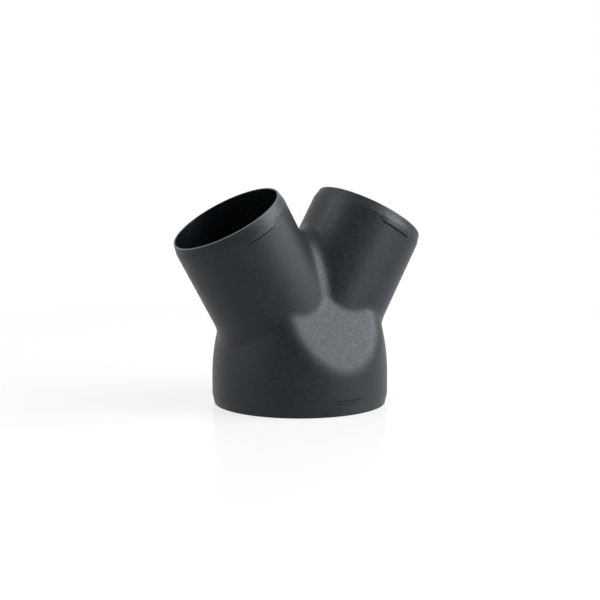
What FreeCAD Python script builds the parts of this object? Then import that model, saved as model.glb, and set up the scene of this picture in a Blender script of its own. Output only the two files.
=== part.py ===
import FreeCAD, Part
import math
import os
from FreeCAD import Vector

# Main sizes, millimetres and degrees
base_diameter = 90.0        # outside of the large stub
branch_diameter = 59.6      # outside of each small stub
wall = 2.0                  # moulded wall of the stubs and the leaning flats
axis_height = 21.5          # where the three axes meet, above the large rim
branch_reach = 85.6         # from that point to the plane of a small mouth
branch_lean = 30.0          # each small axis from the vertical

# Junction sizes
flat_rise = 39.3            # from the joint to where a leaning flat runs out between the small stubs
waist_drop = 7.0            # the side walls begin to draw in this far below the joint
waist_round = 72.0          # arc along which they draw in
shoulder_round = 16.0       # soft edge round each leaning flat
valley_round = 6.5          # fillet between the two small stubs
junction_round = 7.0        # fillet between the shoulder and the small stubs

# Hose end sizes, the same on all three stubs
lead_in_length = 5.0        # tapered end that a hose is pushed over
lead_in_drop = 0.8          # how far the taper falls below the stub
lip_bevel = 0.35            # bevel on the outer edge of the rim
lug_width = 2.6             # along the stub, from the taper to the step
lug_height = 0.8            # step that holds the hose
lug_length = 19.0           # across the stub, from tip to tip

# Modelling allowances
core_overrun = 3.6          # how far the core runs on, hidden inside the small stubs
overlap = 1.0               # how far joined pieces run into each other
near = 0.001                # points closer than this lie on the same surface

# Sizes that follow from those above
base_radius = base_diameter / 2
branch_radius = branch_diameter / 2
lean = math.radians(branch_lean)
apex_depth = math.sqrt(branch_radius ** 2 - (flat_rise * math.sin(lean)) ** 2)
flat_slope = (base_radius - apex_depth) / flat_rise
flat_lean = math.atan(flat_slope)
core_top = axis_height + flat_rise + core_overrun
waist_start = axis_height - waist_drop
waist_room = base_radius + waist_drop * math.tan(lean) - branch_radius / math.cos(lean)
waist_turn = math.sqrt(math.tan(lean) ** 2 + 2 * waist_room / waist_round) - math.tan(lean)
hollow_slope = waist_turn / 2
lug_end = lead_in_length + lug_width
branch_root = branch_radius * math.tan(lean) / 2
joint = Vector(0, 0, axis_height)


def axis_of(side):
    """Direction of a small stub, side -1 or 1 along X."""
    return Vector(side * math.sin(lean), 0, math.cos(lean))


def drawn_walls():
    """Round at the foot, drawn in along X to an oval head, as one smooth surface."""
    rise = core_top - waist_start
    head_width = base_radius - rise ** 2 / (2 * waist_round)
    rows = [
        (base_radius, waist_start),
        (base_radius, waist_start + rise / 2),
        (head_width, core_top),
    ]
    ring = [(1, 0), (1, 1), (0, 1), (-1, 1), (-1, 0), (-1, -1), (0, -1), (1, -1), (1, 0)]
    poles = [[Vector(x * width, y * base_radius, height) for width, height in rows] for x, y in ring]
    corner = math.sqrt(0.5)
    weights = [[corner if x and y else 1.0] * 3 for x, y in ring]
    skin = Part.BSplineSurface()
    skin.buildFromPolesMultsKnots(
        poles, [3, 2, 2, 2, 3], [3, 3], [0, 1, 2, 3, 4], [0, 1], False, False, 2, 2, weights
    )
    side = skin.toShape()
    ends = []
    for edge in side.Edges:
        if edge.BoundBox.ZLength < near:
            ends.append(Part.Face(Part.Wire(edge)))
    solid = Part.Solid(Part.Shell([side] + ends))
    solid.fix(near, near, near)
    return solid


def flat_depth(height, inset):
    """Distance of a leaning flat from the middle plane at a height."""
    return base_radius - inset / math.cos(flat_lean) - flat_slope * (height - axis_height)


def facing_prism(inset):
    """Long prism along X whose two leaning sides trim the core."""
    far = 2 * base_radius
    low = axis_height - base_radius / flat_slope
    high = core_top + overlap
    low_depth = flat_depth(low, inset)
    high_depth = flat_depth(high, inset)
    corners = [
        Vector(-far, -low_depth, low),
        Vector(-far, -high_depth, high),
        Vector(-far, high_depth, high),
        Vector(-far, low_depth, low),
        Vector(-far, -low_depth, low),
    ]
    return Part.Face(Part.makePolygon(corners)).extrude(Vector(2 * far, 0, 0))


def core():
    """Large stub, drawn-in side walls and the two leaning flats with their soft edges."""
    walls = drawn_walls()
    body = walls.common(facing_prism(0.0))
    soft = []
    for edge in body.Edges:
        level = edge.BoundBox.ZLength < near
        points = edge.discretize(5)
        if not level and all(abs(abs(p.y) - flat_depth(p.z, 0.0)) < near for p in points):
            soft.append(edge)
    body = body.makeFillet(shoulder_round, soft)
    stub = Part.makeCylinder(base_radius, waist_start - lead_in_length, Vector(0, 0, lead_in_length))
    return body.fuse(stub)


def hollow():
    """Air space under the shoulder, drawn in from the foot and trimmed by the leaning flats."""
    foot_radius = base_radius - wall
    rise = core_top - waist_start
    space = Part.makeCone(foot_radius, foot_radius - hollow_slope * rise, rise, Vector(0, 0, waist_start))
    return space.common(facing_prism(wall))


def branch_tube(side, inset, reach):
    """One small stub, or its bore, from a root inside the core to a distance from the joint."""
    root = joint + axis_of(side) * branch_root
    return Part.makeCylinder(branch_radius - inset, reach - branch_root, root, axis_of(side))


def branch_pair(inset, reach):
    """Both small stubs, or their bores."""
    return branch_tube(-1, inset, reach).fuse(branch_tube(1, inset, reach))


def valley_filled(pair):
    """The small stubs with the fillet in the valley between them."""
    valley = []
    for edge in pair.Edges:
        box = edge.BoundBox
        if box.XLength < near and box.ZMax > axis_height + branch_radius:
            valley.append(edge)
    return pair.makeFillet(valley_round, valley)


def touches(point, shape):
    """True where a point lies on the skin of a shape."""
    return Part.Vertex(point).distToShape(shape.Shells[0])[0] < near


def blended(low, high, radius):
    """Core and small stubs in one, with the fillet that runs all the way round."""
    body = low.fuse(high)
    seam = []
    for edge in body.Edges:
        points = edge.discretize(5)
        if all(touches(p, low) and touches(p, high) for p in points):
            seam.append(edge)
    return body.makeFillet(radius, seam)


def turned(corners):
    """Ring made by turning a closed outline about the Z axis."""
    face = Part.Face(Part.makePolygon(corners + corners[:1]))
    return face.revolve(Vector(0, 0, 0), Vector(0, 0, 1), 360)


def lip(radius):
    """Tapered end of a stub with a bevelled rim, the rim at height zero."""
    inner = radius - wall
    outer = radius - lead_in_drop
    corners = [
        Vector(inner, 0, lead_in_length),
        Vector(radius, 0, lead_in_length),
        Vector(outer, 0, lip_bevel),
        Vector(outer - lip_bevel, 0, 0),
        Vector(inner, 0, 0),
    ]
    return turned(corners)


def lug(radius, side):
    """Crescent that rises from the taper to a step, side -1 or 1 along Y."""
    crest = radius + lug_height
    root = radius - wall / 2
    corners = [
        Vector(root, 0, lead_in_length),
        Vector(radius, 0, lead_in_length),
        Vector(crest, 0, lug_end),
        Vector(root, 0, lug_end),
    ]
    ring = turned(corners)
    tip_depth = math.sqrt(radius ** 2 - (lug_length / 2) ** 2)
    offset = (crest ** 2 - radius ** 2) / (2 * (crest - tip_depth))
    trim = Part.makeCylinder(crest - offset, lug_end + overlap, Vector(0, side * offset, 0))
    return ring.common(trim)


def on_branch(shape, side):
    """Moves an end made at the origin to the mouth of a small stub."""
    mouth = joint + axis_of(side) * branch_reach
    turn = FreeCAD.Rotation(Vector(0, 1, 0), 180 + side * branch_lean)
    moved = shape.copy()
    moved.Placement = FreeCAD.Placement(mouth, turn)
    return moved


# Outer form
outer_pair = valley_filled(branch_pair(0.0, branch_reach - lead_in_length))
outer = blended(core(), outer_pair, junction_round)

# Air space, set in from the outer form by the wall
inner_pair = branch_pair(wall, branch_reach - lead_in_length + overlap)
entry_rise = waist_start - lead_in_length + overlap
entry = Part.makeCylinder(base_radius - wall, entry_rise, Vector(0, 0, lead_in_length - overlap))
cavity = entry.fuse([hollow(), inner_pair])
body = outer.cut(cavity)

# Hose ends
for end in [lip(base_radius), lug(base_radius, -1), lug(base_radius, 1)]:
    body = body.fuse(end)
for side in (-1, 1):
    for end in [lip(branch_radius), lug(branch_radius, -1), lug(branch_radius, 1)]:
        body = body.fuse(on_branch(end, side))
body = body.removeSplitter()

# Hand over one solid
solid = body.Solids[0]
os.makedirs("parts", exist_ok=True)
solid.exportStep("parts/y_branch.step")
box = solid.BoundBox
print("solids", len(body.Solids), "valid", solid.isValid(), "faces", len(solid.Faces))
print("volume cm3", round(solid.Volume / 1000, 2))
print("size mm", round(box.XLength, 2), round(box.YLength, 2), round(box.ZLength, 2))
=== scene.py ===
# %% [markdown]
# This lesson dresses one moulded part: a duct branch that splits one wide hose stub into two
# narrower ones. The solid from the CAD step comes in first, as a fixed frame in metres.
# Every visible piece is then made around it, in the same place and at the same size.

# %% Load the frame
import math

import bmesh
import bpy
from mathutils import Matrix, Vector


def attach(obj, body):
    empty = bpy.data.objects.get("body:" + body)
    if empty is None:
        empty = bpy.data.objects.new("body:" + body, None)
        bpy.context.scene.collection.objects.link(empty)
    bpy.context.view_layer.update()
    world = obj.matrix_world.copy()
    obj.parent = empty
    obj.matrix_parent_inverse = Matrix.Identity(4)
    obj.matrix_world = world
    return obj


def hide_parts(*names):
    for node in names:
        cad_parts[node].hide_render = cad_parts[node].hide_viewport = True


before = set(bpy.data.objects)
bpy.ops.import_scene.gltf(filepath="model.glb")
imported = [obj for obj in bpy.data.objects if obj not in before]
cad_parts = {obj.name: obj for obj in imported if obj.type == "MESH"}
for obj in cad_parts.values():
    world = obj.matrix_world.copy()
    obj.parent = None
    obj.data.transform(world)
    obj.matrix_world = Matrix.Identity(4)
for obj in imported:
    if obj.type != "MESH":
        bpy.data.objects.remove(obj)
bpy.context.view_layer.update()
scene = bpy.context.scene

# %% [markdown]
# Node trees are easier to read as sums than as lists of links. One class wraps a number that
# flows through a tree, another wraps a direction, and their operators add the Math nodes.
# A third holds the tree itself and makes every other kind of node with a single method.
# The same three serve the shapes, the plastic, the floor and the surround.

# %% A number in a node tree
class Flow:
    """A number that flows through a node tree, with the usual operators."""

    def __init__(self, tree, socket):
        self.tree = tree
        self.socket = socket

    def _math(self, operation, first, second=None):
        sockets = {0: first} if second is None else {0: first, 1: second}
        node = self.tree.make("ShaderNodeMath", {"operation": operation}, sockets)
        return Flow(self.tree, node.outputs[0])

    def __add__(self, other):
        return self._math("ADD", self, other)

    __radd__ = __add__

    def __sub__(self, other):
        return self._math("SUBTRACT", self, other)

    def __rsub__(self, other):
        return self._math("SUBTRACT", other, self)

    def __mul__(self, other):
        return self._math("MULTIPLY", self, other)

    __rmul__ = __mul__

    def __truediv__(self, other):
        return self._math("DIVIDE", self, other)

    def __rtruediv__(self, other):
        return self._math("DIVIDE", other, self)

    def __gt__(self, other):
        return self._math("GREATER_THAN", self, other)

    def root(self):
        return self._math("SQRT", self)

    def size(self):
        return self._math("ABSOLUTE", self)

    def sign(self):
        return self._math("SIGN", self)

    def sine(self):
        return self._math("SINE", self)

    def cosine(self):
        return self._math("COSINE", self)

    def over_angle(self, other):
        """The angle whose tangent is this over the other."""
        return self._math("ARCTAN2", self, other)

    def at_least(self, other):
        return self._math("MAXIMUM", self, other)

    def at_most(self, other):
        return self._math("MINIMUM", self, other)


print("a flow has", [name for name in vars(Flow) if not name.startswith("_")])

# %% A direction or place in a node tree
class Arrow:
    """A vector that flows through a node tree."""

    def __init__(self, tree, socket):
        self.tree = tree
        self.socket = socket

    def _math(self, operation, sockets, output=0):
        node = self.tree.make("ShaderNodeVectorMath", {"operation": operation}, sockets)
        return node.outputs[output]

    def __add__(self, other):
        return Arrow(self.tree, self._math("ADD", {0: self, 1: other}))

    def __sub__(self, other):
        return Arrow(self.tree, self._math("SUBTRACT", {0: self, 1: other}))

    def __mul__(self, number):
        return Arrow(self.tree, self._math("SCALE", {0: self, "Scale": number}))

    def dot(self, other):
        return Flow(self.tree, self._math("DOT_PRODUCT", {0: self, 1: other}, "Value"))

    def length(self):
        return Flow(self.tree, self._math("LENGTH", {0: self}, "Value"))

    def unit(self):
        return Arrow(self.tree, self._math("NORMALIZE", {0: self}))

    def parts(self):
        node = self.tree.make("ShaderNodeSeparateXYZ", {}, {0: self})
        return [Flow(self.tree, socket) for socket in node.outputs]


print("an arrow has", [name for name in vars(Arrow) if not name.startswith("_")])

# %% The tree that holds them
class Tree:
    """Makes nodes in one node tree and links them as it goes."""

    def __init__(self, tree):
        self.tree = tree

    def make(self, kind, settings, sockets):
        node = self.tree.nodes.new(kind)
        for name, value in settings.items():
            setattr(node, name, value)
        for name, value in sockets.items():
            target = node.inputs[name]
            if isinstance(value, (Flow, Arrow)):
                self.tree.links.new(value.socket, target)
            elif isinstance(value, bpy.types.NodeSocket):
                self.tree.links.new(value, target)
            else:
                target.default_value = value
        return node

    def arrow(self, x, y, z):
        node = self.make("ShaderNodeCombineXYZ", {}, {0: x, 1: y, 2: z})
        return Arrow(self, node.outputs[0])


print("a tree has", [name for name in vars(Tree) if not name.startswith("_")])

# %% [markdown]
# The main sizes repeat the ones that the solid was drawn with, here in metres. The wide stub
# stands upright on the origin, and the narrow stubs lean 30 degrees to either side from a
# point on its axis, the joint. The last length of each stub is a sleeve of its own.

# %% Sizes of the part
MM = 0.001
WIDE = 45.0 * MM
NARROW = 29.8 * MM
WALL = 2.0 * MM
JOINT = 21.5 * MM
REACH = 85.6 * MM
LEAN = math.radians(30.0)
SLEEVE = 11.0 * MM
print("radius of the wide stub", WIDE, "and of a narrow one", NARROW)

# %% [markdown]
# The body follows a rule, so Geometry Nodes make it. Two tubes lean away from each other, and
# under them the wide stub draws in and is shaved by two leaning flats. A distance field says
# how far any point is from that form, and which way out is. Rounding two fields together
# gives the same soft edges and fillets that a ball rolled along the corner would leave.

# %% Inputs of the body tree
body_tree = bpy.data.node_groups.new("branch_body", "GeometryNodeTree")
rule = Tree(body_tree)
body_sizes = {
    "Wide radius": WIDE,
    "Narrow radius": NARROW,
    "Joint height": JOINT,
    "Reach": REACH,
    "Lean": LEAN,
    "Flat slope": 0.5606,
    "Flat top": 64.4 * MM,
    "Waist start": 14.5 * MM,
    "Waist round": 72.0 * MM,
    "Soft edge": 16.0 * MM,
    "Valley round": 8.0 * MM,
    "Junction round": 7.5 * MM,
    "Side round": 13.0 * MM,
    "Grid": 1.5 * MM,
}


def add_inputs(group, sizes):
    """Gives a tree one named input for each size and returns their identifiers."""
    face = group.interface
    names = {}
    for name, value in sizes.items():
        socket = face.new_socket(name, in_out="INPUT", socket_type="NodeSocketFloat")
        socket.default_value = value
        names[name] = socket.identifier
    finish = face.new_socket("Finish", in_out="INPUT", socket_type="NodeSocketMaterial")
    names["Finish"] = finish.identifier
    face.new_socket("Geometry", in_out="OUTPUT", socket_type="NodeSocketGeometry")
    return names


body_keys = add_inputs(body_tree, body_sizes)
body_entry = rule.make("NodeGroupInput", {}, {})
given = {name: Flow(rule, body_entry.outputs[name]) for name in body_sizes}
wide, narrow, joint = given["Wide radius"], given["Narrow radius"], given["Joint height"]
lean, grid = given["Lean"], given["Grid"]
print("body inputs", len(body_keys))

# %% [markdown]
# The tree needs a closed skin to start from. Three plain rods and a cone are melted together
# on a coarse grid of voxels, which gives even, small faces and no seams. Their ends run past
# the mouths, because the ends are cut off square later.

# %% Rods that fill the part
OVERRUN = 8.0 * MM
INSET = 0.98


def rod(radius, length, top_radius=None):
    """A closed rod or cone that stands on the origin."""
    top = radius if top_radius is None else top_radius
    sockets = {"Vertices": 96, "Side Segments": 12, "Depth": length}
    sockets.update({"Radius Top": top, "Radius Bottom": radius})
    return rule.make("GeometryNodeMeshCone", {}, sockets).outputs["Mesh"]


def moved(geometry, shift, turn):
    """The same geometry turned, then shifted."""
    sockets = {"Geometry": geometry, "Translation": shift, "Rotation": turn}
    return rule.make("GeometryNodeTransform", {}, sockets).outputs[0]


rough = [moved(rod(wide, joint + OVERRUN), rule.arrow(0, 0, -OVERRUN), (0, 0, 0))]
core_cone = rod(wide * INSET, narrow, narrow * INSET)
rough.append(moved(core_cone, rule.arrow(0, 0, joint), (0, 0, 0)))
for side in (-1, 1):
    tube_rod = rod(narrow, given["Reach"] + OVERRUN)
    rough.append(moved(tube_rod, rule.arrow(0, 0, joint), rule.arrow(0, lean * side, 0)))
print("rough skin from", len(rough), "closed forms")

# %% One rough skin, open at the mouths
heap = rule.make("GeometryNodeMeshBoolean", {"operation": "UNION", "solver": "MANIFOLD"}, {})
for form in rough:
    body_tree.links.new(form, heap.inputs["Mesh 2"])
cloud = rule.make(
    "GeometryNodeMeshToVolume",
    {"resolution_mode": "VOXEL_SIZE"},
    {"Mesh": heap.outputs[0], "Voxel Size": grid, "Interior Band Width": grid * 3},
)
crust = rule.make(
    "GeometryNodeVolumeToMesh", {}, {"Volume": cloud.outputs[0], "Threshold": 0.1}
)
here = rule.make("GeometryNodeInputPosition", {}, {})
hx, _, hz = Arrow(rule, here.outputs[0]).parts()
along = hx.size() * lean.sine() + (hz - joint) * lean.cosine()
past_mouth = (along - given["Reach"]).at_least(0.0 - hz) > OVERRUN / 2
open_crust = rule.make(
    "GeometryNodeDeleteGeometry",
    {"domain": "POINT"},
    {"Geometry": crust.outputs[0], "Selection": past_mouth},
)
print("nodes so far", len(body_tree.nodes))

# %% [markdown]
# Now the rule itself. It runs in a Repeat zone: each round evens out the points a little and
# then moves them onto the form. Each form gives two things at a point, its distance and the
# direction straight out of it. The tubes and the flats are exact. The drawn-in wall is an
# oval that narrows with height, and its distance is divided by how fast the oval grows.

# %% A zone that repeats
ROUNDS = 10
loop_in = rule.make("GeometryNodeRepeatInput", {}, {})
loop_out = rule.make("GeometryNodeRepeatOutput", {}, {})
loop_in.pair_with_output(loop_out)
loop_in.inputs["Iterations"].default_value = ROUNDS
body_tree.links.new(open_crust.outputs[0], loop_in.inputs["Geometry"])
evened = rule.make(
    "GeometryNodeBlurAttribute",
    {"data_type": "FLOAT_VECTOR"},
    {"Value": here.outputs[0], "Iterations": 2, "Weight": 0.6},
)
point = Arrow(rule, evened.outputs[0])
px, py, pz = point.parts()
print("the points settle in", ROUNDS, "rounds")

# %% Distance to each form
HIGHEST_RISE = 50.0 * MM
NEAR_ZERO = 0.001


def leaning_tube(side):
    """Round tube that leans to side -1 or 1."""
    axis = rule.arrow(lean.sine() * side, 0.0, lean.cosine())
    away = point - rule.arrow(0.0, 0.0, joint)
    out = away - axis * away.dot(axis)
    return out.length() - narrow, out.unit()


def drawn_wall():
    """Wide stub whose sides draw in along X to an oval."""
    rise = (pz - given["Waist start"]).at_least(0.0).at_most(HIGHEST_RISE)
    width = wide - rise * rise / (given["Waist round"] * 2.0)
    u = px / width
    v = py / wide
    ring = (u * u + v * v).root().at_least(NEAR_ZERO)
    upwards = u * u / width * rise / given["Waist round"]
    climb = rule.arrow(u / width, v / wide, upwards) * (1.0 / ring)
    return (ring - 1.0) / climb.length(), climb.unit()


def leaning_flat():
    """The flats in front and behind, which lean in as they rise."""
    slope = given["Flat slope"]
    level = 1.0 / (slope * slope + 1.0).root()
    distance = (py.size() - wide + slope * (pz - joint)) * level
    return distance, rule.arrow(0.0, py.sign() * level, slope * level)


left_tube, right_tube = leaning_tube(-1), leaning_tube(1)
wall_form, flat_form = drawn_wall(), leaning_flat()
print("four forms in", len(body_tree.nodes), "nodes")

# %% [markdown]
# Two forms meet in a rounded corner. Seen along the corner, a ball of the given radius touches
# both of them, and its surface stands in for the corner between the two touching points.
# A corner that sticks out is rounded off, and a corner that goes in is filled.

# %% Rounded corners
def rounded(first, second, radius, fills):
    """Joins two forms with a fillet, or keeps what both share with a soft edge."""
    way = -1.0 if fills else 1.0
    near_first = radius + first[0] * way
    near_second = radius + second[0] * way
    facing = first[1].dot(second[1])
    chosen = near_first > near_second
    high = near_first.at_least(near_second)
    low = near_first.at_most(near_second).at_least(facing * high)
    high_out = second[1] + (first[1] - second[1]) * chosen
    low_out = first[1] + (second[1] - first[1]) * chosen
    spread = (1.0 - facing * facing).at_least(NEAR_ZERO / 10)
    ball = (high_out * (high - facing * low) + low_out * (low - facing * high)) * (1.0 / spread)
    in_corner = high > 0.0
    reach = high + (ball.length() - high) * in_corner
    return (reach - radius) * way, (high_out + (ball.unit() - high_out) * in_corner).unit()


shoulder = rounded(wall_form, flat_form, given["Soft edge"], False)
stubs = rounded(left_tube, right_tube, given["Valley round"], True)
print("soft edge", body_sizes["Soft edge"], "valley", body_sizes["Valley round"])

# %% [markdown]
# The shoulder ends at a level that the stubs hide. Where it meets them, the fillet is small in
# front, under the valley, and grows towards the sides, where the waist runs into a stub.

# %% Shoulder and stubs in one
def capped(form, height):
    """A form that ends at a level, hidden inside the stubs."""
    above = pz - height
    higher = above > form[0]
    up = rule.arrow(0.0, 0.0, 1.0)
    return form[0].at_least(above), form[1] + (up - form[1]) * higher


def between(value, low, high):
    """Runs from zero at low to one at high, and stays within them."""
    return ((value - low) / (high - low)).at_least(0.0).at_most(1.0)


SIDE_START = 0.4
SIDE_FULL = 0.85
shoulder = capped(shoulder, given["Flat top"])
sideways = between(px.size(), wide * SIDE_START, wide * SIDE_FULL)
front_round, side_round = given["Junction round"], given["Side round"]
blend_round = front_round + sideways * (side_round - front_round)
distance, outward = rounded(shoulder, stubs, blend_round, True)
settled = rule.make(
    "GeometryNodeSetPosition",
    {},
    {"Geometry": loop_in.outputs["Geometry"], "Position": point - outward * distance},
)
body_tree.links.new(settled.outputs[0], loop_out.inputs["Geometry"])
print("junction from", body_sizes["Junction round"], "to", body_sizes["Side round"])

# %% Finish of the body tree
body_smooth = rule.make(
    "GeometryNodeSetShadeSmooth", {}, {"Geometry": loop_out.outputs["Geometry"]}
)
body_real = rule.make("GeometryNodeRealizeInstances", {}, {"Geometry": body_smooth.outputs[0]})
body_finish = rule.make(
    "GeometryNodeSetMaterial",
    {},
    {"Geometry": body_real.outputs[0], "Material": body_entry.outputs["Finish"]},
)
rule.make("NodeGroupOutput", {}, {"Geometry": body_finish.outputs[0]})
print("body tree", len(body_tree.nodes), "nodes")

# %% [markdown]
# A tree becomes a plain mesh in three steps: a modifier carries it, the evaluated object is
# copied as a mesh, and the modifier goes away with its carrier. A modifier's inputs are set
# by identifier, because two inputs could share a name.

# %% Plain mesh from a tree
def grown(name, group, keys, sizes, material):
    """Runs a tree with these sizes and returns the plain mesh that it makes."""
    holder = bpy.data.objects.new(name, bpy.data.meshes.new(name))
    scene.collection.objects.link(holder)
    carrier = holder.modifiers.new(name, "NODES")
    carrier.node_group = group
    for size, value in sizes.items():
        carrier[keys[size]] = value
    carrier[keys["Finish"]] = material
    graph = bpy.context.evaluated_depsgraph_get()
    mesh = bpy.data.meshes.new_from_object(holder.evaluated_get(graph))
    holder.modifiers.clear()
    blank = holder.data
    bpy.data.objects.remove(holder)
    bpy.data.meshes.remove(blank)
    mesh.name = name
    return mesh


plastic = bpy.data.materials.new("moulded_plastic")
skin_mesh = grown("branch_skin", body_tree, body_keys, body_sizes, plastic)
print("skin", len(skin_mesh.vertices), "points", len(skin_mesh.polygons), "faces")

# %% [markdown]
# The skin still runs past the mouths. Each end is cut square, eleven millimetres short of the
# real mouth, because the hose ends are pieces of their own. Points that lie close to a cut
# are slid along the stub onto it first, so that the cut leaves no sliver faces.

# %% Square ends
CLOSE = 0.5 * MM


def axis_of(side):
    """Direction of a narrow stub, side -1 or 1 along X."""
    return Vector((side * math.sin(LEAN), 0.0, math.cos(LEAN)))


def cut_square(work, spot, way):
    """Removes what lies beyond a plane, seen along way."""
    for vertex in work.verts:
        gap = (vertex.co - spot).dot(way)
        if abs(gap) < CLOSE:
            vertex.co -= way * gap
    everything = list(work.verts) + list(work.edges) + list(work.faces)
    bmesh.ops.bisect_plane(
        work, geom=everything, dist=1e-6, plane_co=spot, plane_no=way, clear_outer=True
    )


work = bmesh.new()
work.from_mesh(skin_mesh)
cut_square(work, Vector((0, 0, SLEEVE)), Vector((0, 0, -1)))
for side in (-1, 1):
    cut_square(work, Vector((0, 0, JOINT)) + axis_of(side) * (REACH - SLEEVE), axis_of(side))
work.to_mesh(skin_mesh)
work.free()
print("cut skin", len(skin_mesh.vertices), "points")

# %% [markdown]
# A moulded duct is one shell of nearly even thickness. A Solidify modifier makes that in one
# go. It grows the skin inwards, so the outside keeps its size.

# %% Wall
shell = bpy.data.objects.new("branch_shell", skin_mesh)
scene.collection.objects.link(shell)
thick = shell.modifiers.new("wall", "SOLIDIFY")
thick.thickness = WALL
thick.offset = -1.0
thick.use_even_offset = True
shell_view = shell.evaluated_get(bpy.context.evaluated_depsgraph_get())
shell_mesh = bpy.data.meshes.new_from_object(shell_view)
bpy.data.objects.remove(shell)
print("shell", len(shell_mesh.vertices), "points")

# %% [markdown]
# All three stubs end in the same way: a short sleeve with a taper that a hose is pushed over,
# a thin lip, and two raised lugs, front and back, that stop the hose from sliding off. Only
# the sizes differ, so one tree makes an end and runs three times. Lengths are measured from
# the mouth, and the last inputs say where that mouth is.

# %% Inputs of the hose end tree
end_tree = bpy.data.node_groups.new("hose_end", "GeometryNodeTree")
sweep = Tree(end_tree)
end_sizes = {
    "Stub radius": NARROW,
    "Wall": WALL,
    "Sleeve": SLEEVE,
    "Taper length": 5.0 * MM,
    "Taper drop": 1.05 * MM,
    "Lip round": 0.3 * MM,
    "Lug start": 2.4 * MM,
    "Lug end": 7.3 * MM,
    "Lug height": 0.7 * MM,
    "Lug length": 21.0 * MM,
    "Relief width": 1.0 * MM,
    "Relief depth": 0.52 * MM,
    "Second tooth": 0.0,
    "Turn": 0.0,
    "Mouth X": 0.0,
    "Mouth Z": 0.0,
}
end_keys = add_inputs(end_tree, end_sizes)
end_entry = sweep.make("NodeGroupInput", {}, {})
asked = {name: Flow(sweep, end_entry.outputs[name]) for name in end_sizes}
stub, wall = asked["Stub radius"], asked["Wall"]
print("hose end inputs", len(end_keys))

# %% [markdown]
# A plain profile is swept round the mouth. Its two corners at the mouth are rounded, which
# makes the thin lip, and its outer side is cut into many rows, because the lugs need points
# to be shaped from.

# %% Plain sleeve
ROWS = 54
SEGMENTS = 216
number = Flow(sweep, sweep.make("GeometryNodeInputIndex", {}, {}).outputs[0])
foot = 0.0 - asked["Sleeve"]
inner = 0.0 - wall
outline = [(inner, foot), (0.0, foot), (0.0, 0.0), (inner, 0.0)]
section_points = {}
for i, (x, y) in enumerate(outline):
    section_points["Point %d" % (i + 1)] = sweep.arrow(x, y, 0.0)
section = sweep.make("GeometryNodeCurvePrimitiveQuadrilateral", {"mode": "POINTS"}, section_points)
at_mouth = number > 1.5
lip_section = sweep.make(
    "GeometryNodeFilletCurve",
    {"mode": "POLY"},
    {
        "Curve": section.outputs[0],
        "Count": 8,
        "Radius": asked["Lip round"] * at_mouth,
        "Limit Radius": True,
    },
)
outer_side = (number > 0.5) * (1.0 - at_mouth)
fine_section = sweep.make(
    "GeometryNodeSubdivideCurve",
    {},
    {"Curve": lip_section.outputs[0], "Cuts": outer_side * float(ROWS)},
)
mouth_ring = sweep.make(
    "GeometryNodeCurvePrimitiveCircle", {}, {"Resolution": SEGMENTS, "Radius": stub}
)
sleeve = sweep.make(
    "GeometryNodeCurveToMesh",
    {},
    {"Curve": mouth_ring.outputs[0], "Profile Curve": fine_section.outputs[0]},
)
print("sleeve of", SEGMENTS, "segments with", ROWS, "rows outside")

# %% [markdown]
# The points of the sleeve are now pushed in or out, which keeps each end a single closed skin,
# as a mould would leave it. Separate lugs would show a seam. A lug is a ramp that rises away
# from the mouth and drops in a sharp step, with a fine relief line behind it. On the wide stub
# it has two short teeth. The rows beside a step slide up to it, so that the step stays sharp.

# %% Taper
end_spot = Arrow(sweep, sweep.make("GeometryNodeInputPosition", {}, {}).outputs[0])
ex, ey, ez = end_spot.parts()
outwards = sweep.arrow(ex, ey, 0.0)
skin_share = between(outwards.length(), stub - wall, stub)
taper = (1.0 - between(ez, 0.0, asked["Taper length"])) * asked["Taper drop"]
print("taper", end_sizes["Taper drop"], "over", end_sizes["Taper length"])

# %% Lugs
STEP_GAP = 0.01 * MM
turned = ex.size().over_angle(ey.size()) * stub / (asked["Lug length"] * 0.5)
lug_share = (1.0 - turned * turned * turned * turned).at_least(0.0)
row = asked["Sleeve"] / float(ROWS)


def tooth(start, end, share):
    """Height of a ramp with its relief line, and the slide of the rows to its step."""
    behind = ez > end
    ramp = between(ez, start, end) * (1.0 - behind) * asked["Lug height"]
    middle = (ez - end) / (asked["Relief width"] * 0.5) - 1.0
    relief = (1.0 - middle * middle).at_least(0.0) * behind * asked["Relief depth"]
    gap = ez - end
    slide = (gap.sign() * STEP_GAP - gap) * (row > gap.size()) * share
    return (ramp - relief) * share, slide


lug_start, lug_end = asked["Lug start"], asked["Lug end"]
high_push, high_slide = tooth(lug_start, lug_end, 1.0)
low_start = lug_start - (lug_end - lug_start)
low_push, low_slide = tooth(low_start, lug_start, asked["Second tooth"])
push = ((high_push + low_push) * lug_share - taper) * skin_share
slide = (high_slide + low_slide) * skin_share
offset = outwards.unit() * push + sweep.arrow(0.0, 0.0, slide)
shaped = sweep.make(
    "GeometryNodeSetPosition", {}, {"Geometry": sleeve.outputs[0], "Offset": offset}
)
print("lug", end_sizes["Lug length"], "long and", end_sizes["Lug height"], "high")

# %% Finish of the hose end tree
end_place = sweep.make(
    "GeometryNodeTransform",
    {},
    {
        "Geometry": shaped.outputs[0],
        "Translation": sweep.arrow(asked["Mouth X"], 0.0, asked["Mouth Z"]),
        "Rotation": sweep.arrow(0.0, asked["Turn"], 0.0),
    },
)
end_real = sweep.make("GeometryNodeRealizeInstances", {}, {"Geometry": end_place.outputs[0]})
end_finish = sweep.make(
    "GeometryNodeSetMaterial",
    {},
    {"Geometry": end_real.outputs[0], "Material": end_entry.outputs["Finish"]},
)
sweep.make("NodeGroupOutput", {}, {"Geometry": end_finish.outputs[0]})
print("hose end tree", len(end_tree.nodes), "nodes")

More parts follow.
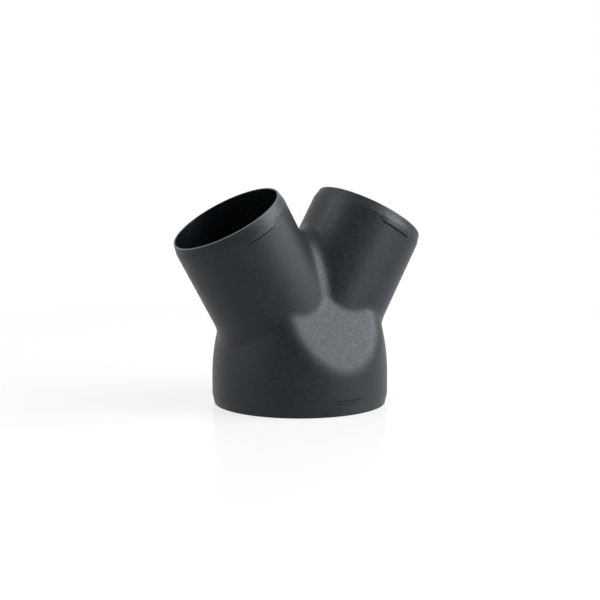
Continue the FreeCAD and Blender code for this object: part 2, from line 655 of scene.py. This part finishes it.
# %% [markdown]
# The tree builds an end whose mouth lies at the origin and whose sleeve stands up from it.
# That is how the wide stub ends. For a narrow stub the whole end is turned over, tipped with
# the lean and moved to the mouth.

# %% Three hose ends
wide_lugs = {
    "Lug start": 5.45 * MM,
    "Lug height": 0.5 * MM,
    "Lug length": 17.5 * MM,
    "Relief width": 0.6 * MM,
    "Relief depth": 0.35 * MM,
    "Second tooth": 0.8,
}


def hose_end(name, radius, side):
    """The end of the wide stub for side 0, or of a narrow stub for side -1 or 1."""
    sizes = dict(end_sizes)
    sizes["Stub radius"] = radius
    if side:
        mouth = Vector((0, 0, JOINT)) + axis_of(side) * REACH
        sizes["Turn"] = math.pi + side * LEAN
        sizes["Mouth X"] = mouth.x
        sizes["Mouth Z"] = mouth.z
    else:
        sizes.update(wide_lugs)
    return grown(name, end_tree, end_keys, sizes, plastic)


end_meshes = [
    hose_end("wide_end", WIDE, 0),
    hose_end("left_end", NARROW, -1),
    hose_end("right_end", NARROW, 1),
]
print("hose ends", [len(mesh.vertices) for mesh in end_meshes], "points")

# %% [markdown]
# The plastic is a cool dark charcoal, moulded in a finely blasted tool. The grain is too small
# to model, so one fine noise carries it: a faint bump, small steps of gloss and small steps of
# colour. A broader noise keeps large faces from looking even, as the flow of the melt does.

# %% Grain of the plastic
FINE_SCALE = 720.0
BROAD_SCALE = 70.0
plastic.use_nodes = True
plastic.node_tree.nodes.clear()
paint = Tree(plastic.node_tree)
place = Arrow(paint, paint.make("ShaderNodeTexCoord", {}, {}).outputs["Object"])


def grain(scale, detail):
    """A noise around one half, with spots of about one over scale metres."""
    sockets = {"Vector": place, "Scale": scale, "Detail": detail, "Roughness": 0.5}
    return Flow(paint, paint.make("ShaderNodeTexNoise", {}, sockets).outputs[0])


fine = grain(FINE_SCALE, 3.0)
broad = grain(BROAD_SCALE, 2.0)
print("fine spots of about", round(1.0 / FINE_SCALE / MM, 1), "mm")

# %% [markdown]
# Two places on the narrow stubs differ from the rest. The lips are painted a little paler, as a
# painted highlight along the thin lip edge, and are smoother. The inside is painted darker, as
# painted shade in the hollow of each stub, and is smoother, because the core of a mould is
# polished to slide out. Both follow from where a point lies along its stub and how far it is
# from the axis, so a few sums on the object coordinates find them. The two stubs mirror each
# other, so X loses its sign.

# %% Painted lip highlight and inside shade
sx, sy, sz = place.parts()
from_joint = paint.arrow(sx.size(), sy, sz - JOINT)
stub_axis = paint.arrow(math.sin(LEAN), 0.0, math.cos(LEAN))
along_stub = from_joint.dot(stub_axis)
off_axis = (from_joint - stub_axis * along_stub).length()
highlight_start, highlight_full = REACH - 0.45 * MM, REACH - 0.15 * MM
core_edge, skin_edge = NARROW - 0.95 * WALL, NARROW - 0.65 * WALL
# Mask of the painted highlight on the lips.
lip_highlight = between(along_stub, highlight_start, highlight_full)
# Mask of the painted shade inside the stubs.
inside = 1.0 - between(off_axis, core_edge, skin_edge)
print("lips rubbed beyond", highlight_start, "inside within", core_edge)

# %% Colours
DARK_CHARCOAL = (0.0062, 0.0077, 0.0098, 1)
PALE_CHARCOAL = (0.0122, 0.0147, 0.0180, 1)
# The lip colour is a painted highlight: the thin lip edge is painted far paler than the charcoal.
LIP_HIGHLIGHT = (0.075, 0.080, 0.086, 1)
# The inside colour is painted shade: the hollow of each stub is painted darker than the charcoal.
SHADED_INSIDE = (0.0030, 0.0048, 0.0060, 1)
DARK_SPOT, PALE_SPOT = 0.36, 0.64


def blend(share, first, second):
    """A colour between two others."""
    sockets = {0: share, 6: first, 7: second}
    return paint.make("ShaderNodeMix", {"data_type": "RGBA"}, sockets).outputs[2]


spots = between(fine, DARK_SPOT, PALE_SPOT)
charcoal = blend(spots * 0.7 + broad * 0.3, DARK_CHARCOAL, PALE_CHARCOAL)
# The lips get their painted highlight here, then the inside gets its painted shade.
highlighted = blend(lip_highlight * 0.8, charcoal, LIP_HIGHLIGHT)
colour = blend(inside, highlighted, SHADED_INSIDE)
print("charcoal from", DARK_CHARCOAL[:3], "to", PALE_CHARCOAL[:3])

# %% [markdown]
# One Principled shader takes it all. The grain feeds its roughness more than its bump, because
# a strong bump would look like the peel of an orange. The highlights of such dark plastic are
# soft and cool, so the specular level is halved and tinted a little blue.

# %% Moulded plastic
roughness = 0.22 + 0.40 * fine + 0.05 * broad - 0.12 * lip_highlight - 0.15 * inside
bump = paint.make(
    "ShaderNodeBump", {}, {"Strength": 0.25, "Distance": 0.25 * MM, "Height": fine}
)
skin = paint.make(
    "ShaderNodeBsdfPrincipled",
    {},
    {
        "Base Color": colour,
        "Roughness": roughness,
        "Normal": bump.outputs[0],
        "IOR": 1.5,
        "Specular IOR Level": 0.25,
        "Specular Tint": (0.905, 0.955, 1.0, 1.0),
    },
)
paint.make("ShaderNodeOutputMaterial", {}, {"Surface": skin.outputs[0]})
print("plastic nodes", len(plastic.node_tree.nodes))

# %% [markdown]
# Every mesh becomes an object at the origin, with its place in its points. Smooth shading
# rounds the small faces, and edges past a set angle stay crisp. The hose ends get a low one,
# because the step of a lug is tiny. Each object then rides on the frame, and the body takes
# the place of the plain solid.

# %% Pieces on the frame
BODY_CRISP = math.radians(32)
END_CRISP = math.radians(14)
for mesh in [shell_mesh] + end_meshes:
    is_body = mesh == shell_mesh
    for face in mesh.polygons:
        face.use_smooth = True
    mesh.set_sharp_from_angle(angle=BODY_CRISP if is_body else END_CRISP)
    piece = bpy.data.objects.new("branch_body" if is_body else mesh.name, mesh)
    scene.collection.objects.link(piece)
    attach(piece, "root")
    if is_body:
        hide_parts("y_branch")
    print(piece.name, len(mesh.polygons), "faces")

# %% [markdown]
# The camera stands where the photographer stood: about thirty degrees to the left of the
# front and a little above the part. A long lens shows the near and the far stub at almost the
# same size. Distance and lens were found by laying the outline of the part over the picture.

# %% Camera
AZIMUTH = math.radians(-31.975)
ELEVATION = math.radians(6.661)
CAMERA_DISTANCE = 652.04 * MM
CAMERA_AIM = Vector((0, 0, 55 * MM))


def direction(azimuth, elevation):
    """Way out from the part, turned by azimuth from the front and raised by elevation."""
    level = math.cos(elevation)
    return Vector(
        (math.sin(azimuth) * level, -math.cos(azimuth) * level, math.sin(elevation))
    )


back = direction(AZIMUTH, ELEVATION)
lens = bpy.data.cameras.new("photo_camera")
lens.sensor_width = 36.0
lens.lens = 76.4
lens.shift_x = 0.0004
lens.shift_y = -0.0083
camera = bpy.data.objects.new("photo_camera", lens)
camera.location = CAMERA_AIM + back * CAMERA_DISTANCE
camera.rotation_euler = back.to_track_quat("Z", "Y").to_euler()
scene.collection.objects.link(camera)
scene.camera = camera
print("camera", [round(value, 3) for value in camera.location])

# %% [markdown]
# The stage is one pale floor under an even white surround. The floor has to look as white as
# the surround and still hold the faint shadow of the part. Light Path tells which rays look
# at it: those from the camera, and those in reflections, see mostly a plain white glow mixed
# with the lit floor. Towards the far edge the glow takes over, so no horizon shows. Close to
# the part a little gloss is mixed in, which mirrors its foot softly.

# %% Floor
FLOOR_HALF = 3.0
floor_mesh = bpy.data.meshes.new("floor")
square = [(-1, -1), (1, -1), (1, 1), (-1, 1)]
floor_corners = [(x * FLOOR_HALF, y * FLOOR_HALF, 0.0) for x, y in square]
floor_mesh.from_pydata(floor_corners, [], [(0, 1, 2, 3)])
floor = bpy.data.objects.new("floor", floor_mesh)
scene.collection.objects.link(floor)
print("floor", 2 * FLOOR_HALF, "metres wide")

# %% Paint of the floor
NEAR_GLOW = 0.80
GLOW_START, GLOW_FULL = 0.10, 0.50
MIRROR_SHARE = 0.09
MIRROR_START, MIRROR_END = 0.08, 0.26
floor_paint = bpy.data.materials.new("pale_floor")
floor_paint.use_nodes = True
floor_paint.node_tree.nodes.clear()
ground = Tree(floor_paint.node_tree)


def ray_is(tree, *kinds):
    """One for a ray of any of these kinds, and zero for all others."""
    path = tree.make("ShaderNodeLightPath", {}, {})
    seen = Flow(tree, path.outputs[kinds[0]])
    for kind in kinds[1:]:
        seen = seen.at_least(Flow(tree, path.outputs[kind]))
    return seen


floor_spot = Arrow(ground, ground.make("ShaderNodeTexCoord", {}, {}).outputs["Object"])
from_part = floor_spot.length()
glow_share = NEAR_GLOW + (1.0 - NEAR_GLOW) * between(from_part, GLOW_START, GLOW_FULL)
mirror_share = MIRROR_SHARE * (1.0 - between(from_part, MIRROR_START, MIRROR_END))
looked_at = ray_is(ground, "Is Camera Ray", "Is Glossy Ray", "Is Transmission Ray")
lit_floor = ground.make("ShaderNodeBsdfDiffuse", {}, {"Color": (0.8, 0.8, 0.8, 1)})
white_glow = ground.make("ShaderNodeEmission", {}, {"Color": (1, 1, 1, 1), "Strength": 1.0})
mirror = ground.make("ShaderNodeBsdfGlossy", {}, {"Color": (1, 1, 1, 1), "Roughness": 0.2})
whitened = ground.make(
    "ShaderNodeMixShader",
    {},
    {0: looked_at * glow_share, 1: lit_floor.outputs[0], 2: white_glow.outputs[0]},
)
polished = ground.make(
    "ShaderNodeMixShader",
    {},
    {0: looked_at * mirror_share, 1: whitened.outputs[0], 2: mirror.outputs[0]},
)
ground.make("ShaderNodeOutputMaterial", {}, {"Surface": polished.outputs[0]})
floor_mesh.materials.append(floor_paint)
print("floor glows", NEAR_GLOW, "of white near the part")

# %% [markdown]
# The surround is white to the camera from every side. In reflections it is white behind and
# beside the part and dim on the photographer's side, most of all low down, as a studio is.
# That leaves the sides that face the camera dark. Matt surfaces get a low even light from it.

# %% World
AMBIENT = 0.25
DIM_START, DIM_FULL = 0.30, 0.85
LOWEST, CLIMB = 0.1, 0.45
world = bpy.data.worlds.new("studio")
scene.world = world
world.use_nodes = True
world.node_tree.nodes.clear()
sky = Tree(world.node_tree)
sky_way = Arrow(sky, sky.make("ShaderNodeTexCoord", {}, {}).outputs["Generated"])
near_camera = between(sky_way.dot(sky.arrow(*back)), DIM_START, DIM_FULL)
mirrored = ray_is(sky, "Is Glossy Ray")
plain_view = ray_is(sky, "Is Camera Ray", "Is Transmission Ray")
dim = LOWEST + CLIMB * sky_way.parts()[2].at_least(0.0)
shown = plain_view + mirrored * (1.0 - (1.0 - dim) * near_camera)
strength = shown + AMBIENT * (1.0 - plain_view - mirrored)
glow = sky.make("ShaderNodeBackground", {}, {"Color": (1, 1, 1, 1), "Strength": strength})
sky.make("ShaderNodeOutputWorld", {}, {"Surface": glow.outputs[0]})
print("surround", AMBIENT, "of white to matt surfaces")

# %% [markdown]
# The light comes from soft boxes, flat lamps that give broad highlights with soft ends. The
# key stands to the right and high, and makes the bright patch on the leaning flat. A weak one
# under it models the right sides. On the left a high fill reaches over the near stub to the
# far one, and a low strip lifts the dark side of the base. A lamp's azimuth is counted from the
# camera and its elevation from the floor.

# %% Soft boxes
LAMP_DISTANCE = 1.0
LAMP_AIM = Vector((0, 0, 50 * MM))
LAMP_COLOUR = (0.95, 0.985, 1.0)


def soft_box(name, azimuth, elevation, width, height, power):
    """A flat light that looks at the part, turned from the camera by azimuth."""
    way = direction(AZIMUTH + math.radians(azimuth), math.radians(elevation))
    lamp = bpy.data.lights.new(name, "AREA")
    lamp.shape = "RECTANGLE"
    lamp.size = width
    lamp.size_y = height
    lamp.energy = power
    lamp.color = LAMP_COLOUR
    holder = bpy.data.objects.new(name, lamp)
    holder.location = LAMP_AIM + way * LAMP_DISTANCE
    holder.rotation_euler = way.to_track_quat("Z", "Y").to_euler()
    scene.collection.objects.link(holder)
    print(name, "light", power, "watts")


soft_box("key", 84, 34, 0.9, 0.65, 18.5)
soft_box("side", 62, 10, 0.8, 0.5, 3.2)
soft_box("fill", -78, 48, 0.7, 0.6, 5.0)
soft_box("low", -66, 3, 0.9, 0.3, 1.0)

# %% [markdown]
# Colours are shown as they are, so the view transform is the plain one.

# %% View transform
scene.view_settings.view_transform = "Standard"
